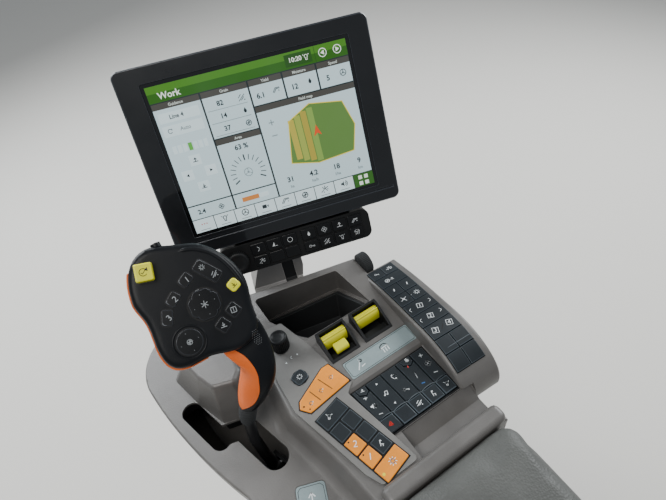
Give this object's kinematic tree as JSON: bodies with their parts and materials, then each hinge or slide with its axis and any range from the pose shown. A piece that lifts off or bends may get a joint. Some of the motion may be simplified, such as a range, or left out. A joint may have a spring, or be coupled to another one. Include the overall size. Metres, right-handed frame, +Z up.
{
  "type": "operator's armrest control console of a combine harvester cab",
  "caption": "Right-hand cab armrest console with a gated drive lever, key decks, storage bin, lift-up armrest pad and a tilting touchscreen display on a neck.",
  "frame": {"origin": "centre of the four seat bolts, on the bracket's outer (left) face", "axes": "+X to the operator's right, +Y forward, +Z up"},
  "size_m": [0.3849, 0.7272, 0.5177],
  "materials": {
    "black_plastic": "satin",
    "dark_rubber": "ribbed",
    "key_plastic": "matte",
    "label_blue": "satin foil",
    "orange_grip": "satin",
    "orange_key": "matte",
    "pad_vinyl": "grained vinyl",
    "pale_trim": "satin",
    "pin_steel": "zinc plated",
    "screen": "lit screen",
    "steel": "black paint",
    "taupe_plastic": "fine grained",
    "yellow": "satin"
  },
  "bodies": {
    "console": {"arch_small_keys": "key_plastic", "arch_wide_keys": "key_plastic", "armrest_beam": "taupe_plastic", "armrest_pin": "pin_steel", "bin_insert": "dark_rubber", "bin_liner": "taupe_plastic", "display_neck": "taupe_plastic", "keyboard_low_keys": "key_plastic", "keyboard_tall_keys": "key_plastic", "keyboard_tray": "black_plastic", "label_plate": "label_blue", "label_strip": "label_blue", "lever_cradle": "steel", "lever_pin": "pin_steel", "lever_well": "black_plastic", "lower_housing": "taupe_plastic", "neck_strip": "black_plastic", "orange_keys": "orange_key", "paddle_housings": "black_plastic", "range_keys": "orange_key", "seat_bracket": "steel", "side_arch": "taupe_plastic", "strip_bezel": "pale_trim", "strip_keys": "key_plastic", "strip_knob": "black_plastic", "thumbwheel": "dark_rubber", "tilt_pin": "pin_steel", "top_cover": "taupe_plastic", "yellow_paddles": "yellow"},
    "lever": {"lever_shaft": "steel", "lever_collar": "dark_rubber", "grip_shell": "black_plastic", "grip_insert": "orange_grip", "head_rim": "orange_grip", "head_keys": "black_plastic", "head_yellow_buttons": "yellow", "head_side_keys": "black_plastic"},
    "display": {"display_frame": "black_plastic", "display_glass": "screen", "display_back": "black_plastic", "key_bar": "black_plastic", "key_bar_keys": "key_plastic", "key_bar_dial": "black_plastic", "tilt_knuckle": "steel"},
    "armrest": {"armrest_lid": "black_plastic", "armrest_pad": "pad_vinyl"}
  },
  "joints": [
    {"name": "lever_swing", "type": "hinge", "parent": "console", "child": "lever", "pos_m": [-0.06939, 0.29953, 0.076], "axis": [0.9563, 0.2924, 0], "range_deg": [0, 24.6]},
    {"name": "display_tilt", "type": "hinge", "parent": "console", "child": "display", "pos_m": [0.07212, 0.52059, 0.29775], "axis": [0.9613, -0.2756, 0], "range_deg": [-15, 12]},
    {"name": "armrest_lift", "type": "hinge", "parent": "console", "child": "armrest", "pos_m": [0.0745, -0.147, 0.158], "axis": [1, 0, 0], "range_deg": [0, 75]}
  ]
}
